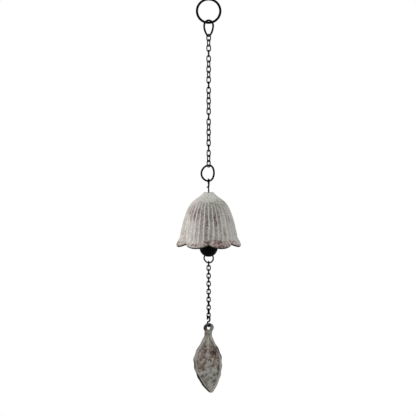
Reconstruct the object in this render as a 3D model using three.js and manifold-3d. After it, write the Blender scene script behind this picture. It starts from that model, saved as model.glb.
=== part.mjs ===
// Iron wind chime: a fluted flower bell on a chain, a ball clapper on a wire inside it,
// and a cast leaf on a second chain below, which catches the wind and moves the clapper.
// Millimetres, +Z up, seen from the front along +Y. The origin is the hanging point,
// the top of the hole in the top ring, and every piece hangs plumb below it on the Z axis.

import * as THREE from 'three';
import { mergeVertices } from 'three/addons/utils/BufferGeometryUtils.js';
import Module from 'manifold-3d';

// Running gap between two pieces that touch.
const clearance = 0.3;

// Top ring that a hook goes through.
const topRingOuter = 32;
const topRingWire = 3;

// The two small rings at the ends of the upper chain. The upper one is pulled to an egg
// that is narrow at its foot, and the lower one is bowed to one side.
const smallRingOuter = 22;
const smallRingWire = 2.4;
const upperRingTurn = 57;
const upperRingTaper = 0.32;
const bellRingTurn = 37;
const bellRingBow = 1.5;

// Chains, measured over all, and their links: a round wire bent to a long loop and
// welded shut. A link's own length follows from the chain's length and its count.
const upperChainLength = 166.8;
const lowerChainLength = 73.2;
const upperLinkCount = 25;
const lowerLinkCount = 14;
const linkWire = 1.5;
const upperLinkInnerWidth = 3.2;
const lowerLinkInnerWidth = 2.8;
const upperLinkTurnTop = -16;
const upperLinkTurnFoot = -34;
const upperCrossTurn = 62;
const upperCrossSway = 20;
const upperCrossPeriod = 6;
const lowerLinkTurnTop = 6;
const lowerLinkTurnFoot = 22;

// Hanger: one wire with an eye at each end, through the hole in the bell's crown.
const hangerWire = 1.8;
const hangerEyeInner = 4.2;
const hangerTurn = 100;
const hangerCrownGap = 11.4;
const hangerTailLength = 4.5;

// Bell: ribbed wall, flaring to petals at the mouth.
const bellWall = 3;
const bellCrownRadius = 7;
const bellCrownWall = 3;
const bellCrownHole = 4.6;
const bellCrownDish = 0.6;
const bellWaistRadius = 36;
const bellWaistDepth = 53.8;
const bellNotchRadius = 35;
const bellNotchDepth = 62.9;
const bellPetalRadius = 40.8;
const bellPetalDepth = 67;
const bellLip = 1.2;
const petalCount = 7;
const ribsPerPetal = 5;
const ribHeight = 1;
const ribStartDepth = 8;

// Clapper: wire, ball and the two wire loops that are cast into the ball.
const clapperWire = 1.8;
const clapperEyeInner = 4;
const clapperTurn = 10;
const ballRadius = 11.6;
const ballBelowCrown = 68.8;
const loopWire = 1.9;
const topLoopRadius = 3.4;
const topLoopRise = 4.6;
const topLoopTurn = 100;
const bottomLoopRadius = 5.8;
const bottomLoopDrop = 8.4;
const bottomLoopDent = 0.5;
const bottomLoopDentAngle = 222;
const loopRoot = 1.6;

// Wire hook shaped like the letter S, between the lower chain and the leaf.
const hookWire = 2.1;
const hookBendRadius = 3.2;
const hookTurn = -62;

// Leaf: a cast eye, a narrow neck and a net-veined blade that leans at its tip.
const leafThickness = 3;
const leafEyeThickness = 2.6;
const leafEyeEdge = 0.7;
const leafEyeRim = 3.1;
const leafEyeHoleWidth = 5.2;
const leafEyeHoleHeight = 5.8;
const leafEyeSideRim = 4.8;
const leafNeckWidth = 10.4;
const leafNeckDepth = 9.5;
const leafWidth = 40.6;
const leafWidestDepth = 42;
const leafLength = 82.4;
const leafSway = 1.6;
const leafSwayDepth = 60;
const leafTipLean = 3.4;
const leafTeeth = 7;
const leafToothDepth = 0.5;
const veinHeight = 0.6;

// How finely the round wires and the cast pieces are faceted.
const linkSides = 5;
const wireSides = 6;
const ringSides = 8;
const bendSteps = 6;
const topRingSteps = 28;
const smallRingSteps = 22;
const hangerSteps = 44;
const clapperWireSteps = 38;
const topLoopSteps = 14;
const bottomLoopSteps = 20;
const hookSteps = 30;
const ballColumns = 20;
const ballRows = 12;
const ribSteps = 3;
const leafRows = 26;

const degrees = Math.PI / 180;

// Iron finishes: black wire, dark grey chain, and chalky white paint worn to rust.
const finishes = {
  black: { color: 0x141413, roughness: 0.55, metalness: 0.6 },
  chain: { color: 0x3a3936, roughness: 0.5, metalness: 0.8 },
  paint: { color: 0xa9a59c, roughness: 0.9, metalness: 0 },
  leaf: { color: 0x87817a, roughness: 0.9, metalness: 0 },
};

const chime = new THREE.Group();

function addPiece(name, geometry, finish, { z = 0, turn = 0 } = {}) {
  const mesh = new THREE.Mesh(geometry, new THREE.MeshStandardMaterial(finishes[finish]));
  mesh.name = name;
  mesh.position.z = z;
  mesh.rotation.z = turn * degrees;
  chime.add(mesh);
  return mesh;
}

// How far the wire of a hanging piece lies above the wire that carries it, centre to centre.
function seat(carrierWire, hangingWire) {
  return (carrierWire + hangingWire) / 2 + clearance;
}

// The inner length of each link in a chain of a given length and count.
function linkInnerLength(chainLength, count) {
  return (chainLength - 2 * linkWire + (count - 1) * clearance) / count;
}

// Points on an arc in the XZ plane, from one angle to another.
function arcPoints(centreZ, radius, fromAngle, toAngle, count) {
  const points = [];
  for (let i = 0; i <= count; i++) {
    const angle = (fromAngle + ((toAngle - fromAngle) * i) / count) * degrees;
    points.push(new THREE.Vector3(radius * Math.cos(angle), 0, centreZ + radius * Math.sin(angle)));
  }
  return points;
}

// A ring in the XZ plane. Its head and foot stay on the Z axis. A taper widens its upper
// half and narrows its lower half, and a bow moves its two sides to the left.
class RingPath extends THREE.Curve {
  constructor(radius, { taper = 0, bow = 0 } = {}) {
    super();
    this.radius = radius;
    this.taper = taper;
    this.bow = bow;
  }

  getPoint(t, target = new THREE.Vector3()) {
    const angle = 2 * Math.PI * t;
    const across = Math.cos(angle);
    const up = Math.sin(angle);
    const x = this.radius * across * (1 + this.taper * up) - this.bow * across ** 2;
    return target.set(x, 0, this.radius * up);
  }
}

// A chain link's wire in the XZ plane: two half circles joined by straight sides.
// Each side is one step and each bend takes bendSteps, so the parameter isn't evened out.
class LinkPath extends THREE.Curve {
  constructor(bendRadius, sideLength) {
    super();
    this.bendRadius = bendRadius;
    this.sideLength = sideLength;
  }

  getPoint(t, target = new THREE.Vector3()) {
    const half = bendSteps + 1;
    const step = t * 2 * half;
    const upper = step <= half;
    const along = upper ? step : step - half;
    const side = upper ? 1 : -1;
    const bend = Math.min(along, bendSteps) / bendSteps;
    const down = Math.max(0, along - bendSteps);
    const x = side * this.bendRadius * Math.cos(Math.PI * bend);
    const z = side * (this.sideLength / 2 + this.bendRadius * Math.sin(Math.PI * bend));
    return target.set(x, 0, z - side * this.sideLength * down);
  }

  getUtoTmapping(u) {
    return u;
  }
}

// A closed loop of round wire.
function closedWire(path, wire, steps, sides) {
  return new THREE.TubeGeometry(path, steps, wire / 2, sides, true);
}

// A length of round wire with two cut ends.
function openWire(points, wire, steps) {
  const section = new THREE.Shape();
  section.absarc(0, 0, wire / 2, 0, 2 * Math.PI);
  const extrudePath = new THREE.CatmullRomCurve3(points);
  return new THREE.ExtrudeGeometry(section, { extrudePath, steps, curveSegments: wireSides / 2 });
}

// A closed skin over sections of equal point counts, joined end to end or capped.
function skin(sections, joined) {
  const count = sections[0].length;
  const points = sections.flat();
  const index = [];
  const spans = joined ? sections.length : sections.length - 1;
  for (let s = 0; s < spans; s++) {
    const here = s * count;
    const there = ((s + 1) % sections.length) * count;
    for (let k = 0; k < count; k++) {
      const next = (k + 1) % count;
      index.push(here + k, there + k, here + next);
      index.push(here + next, there + k, there + next);
    }
  }
  if (!joined) {
    const last = (sections.length - 1) * count;
    for (let k = 1; k < count - 1; k++) {
      index.push(0, k, k + 1);
      index.push(last, last + k + 1, last + k);
    }
  }
  const coordinates = points.flatMap((point) => point.toArray());
  const geometry = new THREE.BufferGeometry();
  geometry.setAttribute('position', new THREE.Float32BufferAttribute(coordinates, 3));
  geometry.setIndex(index);
  geometry.computeVertexNormals();
  return geometry;
}

// Joining and cutting closed shapes.
const wasm = await Module();
wasm.setup();

function solidOf(geometry) {
  const bare = geometry.clone();
  bare.deleteAttribute('normal');
  bare.deleteAttribute('uv');
  const merged = mergeVertices(bare, 1e-4);
  const vertProperties = new Float32Array(merged.attributes.position.array);
  const triVerts = new Uint32Array(merged.index.array);
  return new wasm.Manifold(new wasm.Mesh({ numProp: 3, vertProperties, triVerts }));
}

function geometryOf(solid) {
  const mesh = solid.getMesh();
  const geometry = new THREE.BufferGeometry();
  geometry.setAttribute('position', new THREE.BufferAttribute(mesh.vertProperties, 3));
  geometry.setIndex(new THREE.BufferAttribute(mesh.triVerts, 1));
  geometry.computeVertexNormals();
  return geometry;
}

// Levels of the wires on the Z axis, each worked out from the piece above.
const topRingRadius = (topRingOuter - topRingWire) / 2;
const topRingZ = topRingWire / 2 - topRingRadius;
const topRingFoot = topRingZ - topRingRadius;

const smallRingRadius = (smallRingOuter - smallRingWire) / 2;
const upperRingZ = topRingFoot + seat(topRingWire, smallRingWire) - smallRingRadius;
const upperRingFoot = upperRingZ - smallRingRadius;

const upperLinkBendRadius = (upperLinkInnerWidth + linkWire) / 2;
const lowerLinkBendRadius = (lowerLinkInnerWidth + linkWire) / 2;
const upperLinkInnerLength = linkInnerLength(upperChainLength, upperLinkCount);
const upperLinkHalf = (upperLinkInnerLength + linkWire) / 2;
const upperLinkPitch = 2 * upperLinkHalf - seat(linkWire, linkWire);
const upperChainTop = upperRingFoot + seat(smallRingWire, linkWire) - upperLinkHalf;
const upperChainFoot = upperChainTop - (upperLinkCount - 1) * upperLinkPitch - upperLinkHalf;

const bellRingZ = upperChainFoot + seat(linkWire, smallRingWire) - smallRingRadius;
const bellRingFoot = bellRingZ - smallRingRadius;

const hangerEyeRadius = (hangerEyeInner + hangerWire) / 2;
const hangerEyeZ = bellRingFoot + seat(smallRingWire, hangerWire) - hangerEyeRadius;
const bellTop = hangerEyeZ - hangerEyeRadius - hangerCrownGap;
const lowerEyeHead = bellTop - bellCrownWall - clearance - hangerWire / 2;
const lowerEyeZ = lowerEyeHead - hangerEyeRadius;
const lowerEyeFoot = lowerEyeZ - hangerEyeRadius;

const ballZ = bellTop - ballBelowCrown;
const topLoopZ = ballZ + ballRadius + topLoopRise - topLoopRadius;
const clapperEyeRadius = (clapperEyeInner + clapperWire) / 2;
const clapperHead = lowerEyeFoot + seat(hangerWire, clapperWire);
const clapperFoot = topLoopZ + topLoopRadius - seat(clapperWire, loopWire);

const bottomLoopZ = ballZ - ballRadius - bottomLoopDrop + loopWire / 2 + bottomLoopRadius;
const bottomLoopFoot = bottomLoopZ - bottomLoopRadius;

const lowerLinkInnerLength = linkInnerLength(lowerChainLength, lowerLinkCount);
const lowerLinkHalf = (lowerLinkInnerLength + linkWire) / 2;
const lowerLinkPitch = 2 * lowerLinkHalf - seat(linkWire, linkWire);
const lowerChainTop = bottomLoopFoot + seat(loopWire, linkWire) - lowerLinkHalf;
const lowerChainFoot = lowerChainTop - (lowerLinkCount - 1) * lowerLinkPitch - lowerLinkHalf;

const hookHead = lowerChainFoot + seat(linkWire, hookWire);
const hookZ = hookHead - 2 * hookBendRadius;
const hookFoot = hookZ - 2 * hookBendRadius;
const leafHoleTop = hookFoot + hookWire / 2 + clearance;

// Rings.
const topRingPath = new RingPath(topRingRadius);
addPiece('top_ring', closedWire(topRingPath, topRingWire, topRingSteps, ringSides), 'black', {
  z: topRingZ,
});
const eggPath = new RingPath(smallRingRadius, { taper: upperRingTaper });
addPiece('upper_ring', closedWire(eggPath, smallRingWire, smallRingSteps, ringSides), 'black', {
  z: upperRingZ,
  turn: upperRingTurn,
});
const bowedPath = new RingPath(smallRingRadius, { bow: bellRingBow });
addPiece('bell_ring', closedWire(bowedPath, smallRingWire, smallRingSteps, ringSides), 'black', {
  z: bellRingZ,
  turn: bellRingTurn,
});

// How far down its chain a link is, from 0 for the first to 1 for the last.
function alongChain(number, count) {
  return count > 1 ? (number - 1) / (count - 1) : 0;
}

// Chains. Odd links of the upper chain hang nearly facing the front and slowly turn on the
// way down. Even links hang across them.
function upperLinkTurn(number) {
  if (number % 2 === 1) {
    const along = alongChain(number, upperLinkCount);
    return upperLinkTurnTop + (upperLinkTurnFoot - upperLinkTurnTop) * along;
  }
  const phase = (2 * Math.PI * (number - 4)) / upperCrossPeriod;
  return upperCrossTurn + upperCrossSway * Math.cos(phase);
}

// The lower chain's links stand square to each other. The chain twists near its foot, where
// the leaf hangs turned to one side.
function lowerLinkTurn(number) {
  const along = alongChain(number, lowerLinkCount);
  const twist = lowerLinkTurnTop + (lowerLinkTurnFoot - lowerLinkTurnTop) * along ** 3;
  return number % 2 === 1 ? twist + 90 : twist;
}

function addChain(prefix, { count, innerLength, innerWidth, bendRadius, top, pitch, turnOf }) {
  const path = new LinkPath(bendRadius, innerLength - innerWidth);
  const link = closedWire(path, linkWire, 2 * (bendSteps + 1), linkSides);
  for (let number = 1; number <= count; number++) {
    const name = `${prefix}_${String(number).padStart(2, '0')}`;
    addPiece(name, link, 'chain', { z: top - (number - 1) * pitch, turn: turnOf(number) });
  }
}

addChain('upper_chain_link', {
  count: upperLinkCount,
  innerLength: upperLinkInnerLength,
  innerWidth: upperLinkInnerWidth,
  bendRadius: upperLinkBendRadius,
  top: upperChainTop,
  pitch: upperLinkPitch,
  turnOf: upperLinkTurn,
});

// Hanger wire. The tail lies behind the shank with its cut end bent round to the left,
// the upper eye goes round the bell ring's wire, and the lower eye carries the crown.
function hangerGeometry() {
  const beside = hangerWire + clearance;
  const eyeFoot = hangerEyeZ - hangerEyeRadius;
  const points = [];
  points.push(new THREE.Vector3(-beside * 0.4, beside * 1.1, eyeFoot - hangerTailLength));
  points.push(new THREE.Vector3(-beside, beside * 0.35, eyeFoot - hangerTailLength * 0.75));
  points.push(new THREE.Vector3(-beside * 1.05, 0, eyeFoot - hangerTailLength * 0.4));
  points.push(...arcPoints(hangerEyeZ, hangerEyeRadius, 228, -50, 10));
  points.push(new THREE.Vector3(0, 0, eyeFoot - hangerWire));
  points.push(new THREE.Vector3(0, 0, eyeFoot - hangerTailLength));
  points.push(new THREE.Vector3(0, 0, (eyeFoot - hangerTailLength + lowerEyeHead) / 2));
  points.push(new THREE.Vector3(0, 0, lowerEyeHead + hangerWire));
  points.push(...arcPoints(lowerEyeZ, hangerEyeRadius, 50, -230, 10));
  return openWire(points, hangerWire, hangerSteps);
}

addPiece('hanger_wire', hangerGeometry(), 'black', { turn: hangerTurn });

// Bell. The wall's outline is one curve from the crown's edge to the waist. Below it
// the wall flares into petals, and the notches between them stay close to the body.
function bellGeometry() {
  const outline = new THREE.CubicBezierCurve(
    new THREE.Vector2(bellCrownRadius, 0),
    new THREE.Vector2(0.445 * bellWaistRadius, 0.22 * bellWaistDepth),
    new THREE.Vector2(0.733 * bellWaistRadius, 0.046 * bellWaistDepth),
    new THREE.Vector2(bellWaistRadius, bellWaistDepth),
  );
  const outlineSteps = 8;
  const flareShape = [0.2, 0.62, 1];
  const columns = petalCount * ribsPerPetal * ribSteps;
  const sections = [];
  for (let column = 0; column < columns; column++) {
    const aroundPetal = ((column / columns) * petalCount) % 1;
    const fromMiddle = 2 * aroundPetal - 1;
    const lobe = 1 - fromMiddle ** 2;
    const crest = column % ribSteps === 0 ? 1 : 0;
    const rimDepth = bellNotchDepth + (bellPetalDepth - bellNotchDepth) * lobe;
    const rimRadius = bellNotchRadius + (bellPetalRadius - bellNotchRadius) * Math.sqrt(lobe);
    const flareDepth = rimDepth - 3 * bellLip;
    const section = [[bellCrownHole / 2, bellCrownDish]];
    for (let i = 0; i <= outlineSteps; i++) {
      const point = outline.getPoint(i / outlineSteps);
      const rising = THREE.MathUtils.smoothstep(point.y, ribStartDepth, 1.8 * ribStartDepth);
      section.push([point.x - ribHeight * (1 - crest) * rising, point.y]);
    }
    flareShape.forEach((share, i) => {
      const depth = bellWaistDepth + ((flareDepth - bellWaistDepth) * (i + 1)) / flareShape.length;
      const fading = 1 - 0.6 * share;
      const radius = bellWaistRadius + (rimRadius - bellWaistRadius) * share;
      section.push([radius - ribHeight * (1 - crest) * fading, depth]);
    });
    section.push([rimRadius - bellLip / 2, rimDepth - bellLip]);
    section.push([rimRadius - 1.5 * bellLip, rimDepth]);
    section.push([rimRadius - bellWall, rimDepth - bellLip / 2]);
    section.push([(rimRadius + bellWaistRadius) / 2 - bellWall, (rimDepth + bellWaistDepth) / 2]);
    for (const t of [1, 0.75, 0.5]) {
      const point = outline.getPoint(t);
      const slope = outline.getTangent(t);
      section.push([point.x - bellWall * slope.y, point.y + bellWall * slope.x]);
    }
    section.push([bellCrownRadius - clearance, bellCrownWall]);
    section.push([bellCrownHole / 2, bellCrownWall]);
    const angle = (-90 - (360 * column) / columns) * degrees;
    sections.push(section.map(([radius, depth]) => (
      new THREE.Vector3(radius * Math.cos(angle), radius * Math.sin(angle), -depth)
    )));
  }
  return skin(sections, true);
}

addPiece('bell', bellGeometry(), 'paint', { z: bellTop });

// Clapper wire: a straight wire with an eye at each end.
function clapperWireGeometry() {
  const headEye = clapperHead - clapperEyeRadius;
  const footEye = clapperFoot + clapperEyeRadius;
  const points = [
    ...arcPoints(headEye, clapperEyeRadius, 232, -50, 10),
    new THREE.Vector3(0, 0, headEye - clapperEyeRadius - clapperWire),
    new THREE.Vector3(0, 0, (headEye + footEye) / 2),
    new THREE.Vector3(0, 0, footEye + clapperEyeRadius + clapperWire),
    ...arcPoints(footEye, clapperEyeRadius, 50, -232, 10),
  ];
  return openWire(points, clapperWire, clapperWireSteps);
}

addPiece('clapper_wire', clapperWireGeometry(), 'black', { turn: clapperTurn });

// Clapper ball with the four root holes of its two loops, and the loops themselves.
// A loop is part of a circle, open where it is buried in the ball.
function loopEndAngle(radius, centreFromBall) {
  const depth = ballRadius - loopWire - loopRoot;
  const cosine = (radius ** 2 + centreFromBall ** 2 - depth ** 2) / (2 * radius * centreFromBall);
  return Math.acos(THREE.MathUtils.clamp(cosine, -1, 1)) / degrees;
}

function loopPoints(radius, centreFromBall, middleAngle, dent = 0, dentAngle = 0) {
  const open = loopEndAngle(radius, centreFromBall);
  const reach = 180 - open;
  return arcPoints(0, radius, middleAngle - reach, middleAngle + reach, 12).map((point) => {
    const angle = Math.atan2(point.z, point.x);
    const nearDent = Math.max(0, Math.cos(angle - dentAngle * degrees)) ** 6;
    return point.multiplyScalar(1 - (dent * nearDent) / radius);
  });
}

const upwards = 90;
const downwards = 270;
const topLoopPoints = loopPoints(topLoopRadius, topLoopZ - ballZ, upwards);
const bottomLoopPoints = loopPoints(
  bottomLoopRadius,
  ballZ - bottomLoopZ,
  downwards,
  bottomLoopDent,
  bottomLoopDentAngle,
);

function placed(geometry, z, turn) {
  return geometry.clone().rotateZ(turn * degrees).translate(0, 0, z);
}

// The room that a loop's buried ends take in the ball: the same wire, thicker by the gap.
function rootRoom(points, z, turn) {
  const longer = points.map((point) => point.clone());
  const ends = [[0, 1], [points.length - 1, points.length - 2]];
  for (const [end, neighbour] of ends) {
    const outwards = points[end].clone().sub(points[neighbour]).setLength(clearance);
    longer[end].add(outwards);
  }
  return solidOf(placed(openWire(longer, loopWire + 2.6 * clearance, 36), z, turn));
}

function ballGeometry() {
  const sphere = new THREE.SphereGeometry(ballRadius, ballColumns, ballRows);
  let ball = solidOf(sphere.rotateX(Math.PI / 2).translate(0, 0, ballZ));
  ball = ball.subtract(rootRoom(topLoopPoints, topLoopZ, topLoopTurn));
  ball = ball.subtract(rootRoom(bottomLoopPoints, bottomLoopZ, 0));
  return geometryOf(ball);
}

addPiece('clapper_top_loop', openWire(topLoopPoints, loopWire, topLoopSteps), 'black', {
  z: topLoopZ,
  turn: topLoopTurn,
});
addPiece('clapper_ball', ballGeometry(), 'black');
addPiece('clapper_bottom_loop', openWire(bottomLoopPoints, loopWire, bottomLoopSteps), 'black', {
  z: bottomLoopZ,
});

addChain('lower_chain_link', {
  count: lowerLinkCount,
  innerLength: lowerLinkInnerLength,
  innerWidth: lowerLinkInnerWidth,
  bendRadius: lowerLinkBendRadius,
  top: lowerChainTop,
  pitch: lowerLinkPitch,
  turnOf: lowerLinkTurn,
});

// S hook: two bends of one radius, each a little short of closed.
function hookGeometry() {
  const upper = arcPoints(hookZ + hookBendRadius, hookBendRadius, 205, -70, 10);
  const lower = arcPoints(hookZ - hookBendRadius, hookBendRadius, 110, 385, 10);
  return openWire([...upper, ...lower], hookWire, hookSteps);
}

addPiece('s_hook', hookGeometry(), 'black', { turn: hookTurn });

// Leaf. Depths are measured down from the middle of the eye's hole.
function leafHalfWidth(depth) {
  const neck = leafNeckWidth / 2;
  const widest = leafWidth / 2;
  if (depth <= leafWidestDepth) {
    const t = THREE.MathUtils.clamp((depth - leafNeckDepth) / (leafWidestDepth - leafNeckDepth), 0, 1);
    return neck + (widest - neck) * Math.sin((Math.PI / 2) * t) ** 1.35;
  }
  const t = Math.min(1, (depth - leafWidestDepth) / (leafLength - leafWidestDepth));
  return widest * (1 - t ** 2) ** 0.86;
}

function leafCentre(depth) {
  const t = Math.max(0, depth - leafWidestDepth) / (leafLength - leafWidestDepth);
  const sway = leafSway * Math.sin(Math.PI * Math.min(1, depth / leafSwayDepth));
  return leafTipLean * t ** 2.2 - sway;
}

// Raised veins: the midrib, and side veins that leave it at a slant.
function veinRelief(across, depth, halfWidth) {
  const x = across * halfWidth;
  const midrib = Math.max(0, 1 - Math.abs(x) / 1.6);
  const slanted = (depth - 0.9 * Math.abs(x)) / (leafLength / leafTeeth);
  const side = Math.max(0, Math.cos(2 * Math.PI * slanted)) ** 2 * (1 - across ** 4);
  return veinHeight * Math.max(midrib, side);
}

function bladeGeometry() {
  const top = (leafEyeHoleHeight + leafEyeRim) / 2;
  const crossSteps = 8;
  const sections = [];
  for (let row = 0; row <= leafRows; row++) {
    const depth = top + ((leafLength - top) * row) / leafRows;
    const tooth = leafToothDepth * Math.sin((2 * Math.PI * leafTeeth * depth) / leafLength);
    const fullness = Math.sin(Math.PI * THREE.MathUtils.clamp(depth / leafLength, 0, 1));
    const halfWidth = Math.max(1, leafHalfWidth(depth) + tooth * fullness);
    const section = [];
    for (let k = 0; k <= crossSteps; k++) {
      const across = (2 * k) / crossSteps - 1;
      const swell = 0.5 + 0.5 * Math.sqrt(Math.max(0, 1 - across ** 2));
      const front = (leafThickness / 2) * swell + veinRelief(across, depth, halfWidth) - veinHeight;
      section.push(new THREE.Vector3(leafCentre(depth) + across * halfWidth, -front, -depth));
    }
    for (let k = 0; k <= crossSteps; k += 2) {
      const across = 1 - (2 * k) / crossSteps;
      const swell = 0.5 + 0.5 * Math.sqrt(Math.max(0, 1 - across ** 2));
      const x = leafCentre(depth) + across * halfWidth;
      section.push(new THREE.Vector3(x, (leafThickness / 2) * swell, -depth));
    }
    sections.push(section);
  }
  return skin(sections, false);
}

function leafEyeGeometry() {
  const outer = new THREE.Shape();
  const outerHalfWidth = leafEyeHoleWidth / 2 + leafEyeSideRim;
  const outerHalfHeight = leafEyeHoleHeight / 2 + leafEyeRim;
  outer.absellipse(0, 0, outerHalfWidth, outerHalfHeight, 0, 2 * Math.PI);
  const hole = new THREE.Path();
  hole.absellipse(0, 0, leafEyeHoleWidth / 2, leafEyeHoleHeight / 2, 0, 2 * Math.PI, true);
  outer.holes.push(hole);
  const eye = new THREE.ExtrudeGeometry(outer, {
    depth: leafEyeThickness - 2 * leafEyeEdge,
    bevelThickness: leafEyeEdge,
    bevelSize: leafEyeEdge,
    bevelOffset: -leafEyeEdge,
    bevelSegments: 1,
    curveSegments: 10,
  });
  return eye.translate(0, 0, leafEyeEdge - leafEyeThickness / 2).rotateX(Math.PI / 2);
}

function leafGeometry() {
  const blade = solidOf(bladeGeometry());
  const eye = solidOf(leafEyeGeometry());
  return geometryOf(blade.add(eye));
}

// The hook goes square through the leaf's eye, so the leaf hangs square to the hook's plane.
addPiece('leaf', leafGeometry(), 'leaf', {
  z: leafHoleTop - leafEyeHoleHeight / 2,
  turn: hookTurn + 90,
});

export default chime;
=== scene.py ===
import math
from functools import partialmethod, reduce

import bmesh
import bpy
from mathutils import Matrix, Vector


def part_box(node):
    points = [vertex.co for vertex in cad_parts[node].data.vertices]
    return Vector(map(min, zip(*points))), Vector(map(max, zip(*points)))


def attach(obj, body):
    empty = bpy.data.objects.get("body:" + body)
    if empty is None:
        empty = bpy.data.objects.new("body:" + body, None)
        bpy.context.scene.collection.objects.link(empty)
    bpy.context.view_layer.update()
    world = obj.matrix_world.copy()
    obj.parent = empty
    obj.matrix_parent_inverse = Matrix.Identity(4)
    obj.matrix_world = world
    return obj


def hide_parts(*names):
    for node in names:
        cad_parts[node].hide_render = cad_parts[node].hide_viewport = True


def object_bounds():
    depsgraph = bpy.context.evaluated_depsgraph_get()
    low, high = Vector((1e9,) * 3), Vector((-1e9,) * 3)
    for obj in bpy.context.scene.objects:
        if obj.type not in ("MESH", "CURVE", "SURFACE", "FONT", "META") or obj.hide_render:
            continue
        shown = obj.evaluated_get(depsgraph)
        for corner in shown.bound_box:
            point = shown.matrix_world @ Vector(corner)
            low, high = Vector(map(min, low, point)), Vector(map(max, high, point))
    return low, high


# %% [markdown]
# # An iron wind chime
# A cast bell like a flower hangs on a chain. Inside it a ball hangs on a wire, and below
# the ball a second chain carries a cast leaf. The wind pushes the leaf and the ball rings
# the bell. The solid model is loaded first and stays as it is: every piece made below is
# the finished skin of one of its solids, in its place.

# %% Load the solid model
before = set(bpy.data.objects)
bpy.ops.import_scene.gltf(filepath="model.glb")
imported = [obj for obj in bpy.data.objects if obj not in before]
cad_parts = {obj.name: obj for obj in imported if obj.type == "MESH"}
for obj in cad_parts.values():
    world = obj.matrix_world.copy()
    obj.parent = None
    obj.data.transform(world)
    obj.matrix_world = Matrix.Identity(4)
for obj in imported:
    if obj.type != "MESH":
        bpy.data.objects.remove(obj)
solid_low, solid_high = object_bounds()
solid_size = solid_high - solid_low
print("solids:", len(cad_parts), "size in mm:", [round(v * 1000, 1) for v in solid_size])

# %% [markdown]
# ## Camera
# The chime was photographed nearly level, from about 5 degrees above, and far enough away
# that its top and its foot show at one scale. A long lens three metres away does the same.
# The picture is 520 mm wide at the chime, and the lens follows from that by similar
# triangles, without trial and error.


# %% Camera
def new_object(name, data):
    """An object with this data, put in the scene."""
    made = bpy.data.objects.new(name, data)
    bpy.context.scene.collection.objects.link(made)
    return made


view_distance = 3.0
view_tilt = math.radians(5)
picture_width = 0.52
aim = Vector((-0.0008, 0, -0.2584))

camera_data = bpy.data.cameras.new("camera")
camera_data.lens = camera_data.sensor_width * view_distance / picture_width
camera = new_object("camera", camera_data)
camera.location = aim + view_distance * Vector((0, -math.cos(view_tilt), math.sin(view_tilt)))
camera.rotation_euler = (math.pi / 2 - view_tilt, 0, 0)
bpy.context.scene.camera = camera
print("lens in mm:", round(camera_data.lens, 1))

# %% [markdown]
# ## Numbers in a node tree
# Light, shapes and finishes below follow rules, and a rule is easier to read as a formula
# than as a web of nodes. A small class stands for one number in a tree. Adding or
# multiplying two of them adds the Math node that does it, and wires it up.


# %% Formula helper
def plug(socket, value):
    """Wires a value into a socket, or writes it there when it is a plain number."""
    if isinstance(value, Number):
        socket.id_data.links.new(value.socket, socket)
    elif isinstance(value, bpy.types.NodeSocket):
        socket.id_data.links.new(value, socket)
    else:
        socket.default_value = value


def add_node(tree, kind, inputs=None, **settings):
    """Adds a node, sets its options, and fills its inputs by name or by place."""
    made = tree.nodes.new(kind)
    for setting, value in settings.items():
        setattr(made, setting, value)
    for slot, value in (inputs or {}).items():
        plug(made.inputs[slot], value)
    return made


class Number:
    """One number in a node tree. Each operator adds the Math node of that name."""

    def __init__(self, socket):
        self.socket = socket

    def math(self, operation, *others):
        inputs = dict(enumerate((self, *others)))
        made = add_node(self.socket.id_data, "ShaderNodeMath", inputs, operation=operation)
        return Number(made.outputs[0])

    __add__ = partialmethod(math, "ADD")
    __sub__ = partialmethod(math, "SUBTRACT")
    __mul__ = partialmethod(math, "MULTIPLY")
    __truediv__ = partialmethod(math, "DIVIDE")
    __pow__ = partialmethod(math, "POWER")
    __rsub__ = partialmethod(math, "MULTIPLY_ADD", -1)
    least = partialmethod(math, "MINIMUM")
    most = partialmethod(math, "MAXIMUM")

    def steps_up(self, low, high):
        """0 below low, 1 above high and smooth between. With low above high it steps down."""
        inputs = {"Value": self, "From Min": low, "From Max": high}
        made = add_node(self.socket.id_data, "ShaderNodeMapRange", inputs)
        made.interpolation_type = "SMOOTHSTEP"
        return Number(made.outputs["Result"])


# %% Vectors and noise in a node tree
def vector_of(tree, x, y, z):
    return add_node(tree, "ShaderNodeCombineXYZ", {0: x, 1: y, 2: z}).outputs[0]


def parts_of(tree, vector):
    made = add_node(tree, "ShaderNodeSeparateXYZ", {0: vector})
    return [Number(output) for output in made.outputs]


def vector_math(tree, operation, *inputs):
    """The result of a Vector Math node: a vector, or a Number when it is a length."""
    made = add_node(tree, "ShaderNodeVectorMath", dict(enumerate(inputs)), operation=operation)
    return Number(made.outputs["Value"]) if operation == "LENGTH" else made.outputs[0]


def cloud(tree, place, scale, detail, stretch=None):
    """Soft noise from 0 to 1 with patches of about 1 / scale metres."""
    if stretch:
        place = vector_math(tree, "MULTIPLY", place, stretch)
    made = add_node(tree, "ShaderNodeTexNoise", {"Vector": place, "Scale": scale, "Detail": detail})
    return Number(made.outputs["Fac"])


print("helpers ready")

# %% [markdown]
# ## Light
# Plain studio light: one large soft lamp at the upper left, a weaker one at the right, and
# an even world. The camera, and anything that mirrors or looks through, sees the world as
# white. Other rays see it weaker, so that the lamps still shape the bell. The lamps are
# set so that a surface that faces them renders at about the colour that is written.

# %% World and lamps
room_strength = 0.46
white_strength = 1
bell_middle = Vector((0, 0, -0.27))

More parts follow.
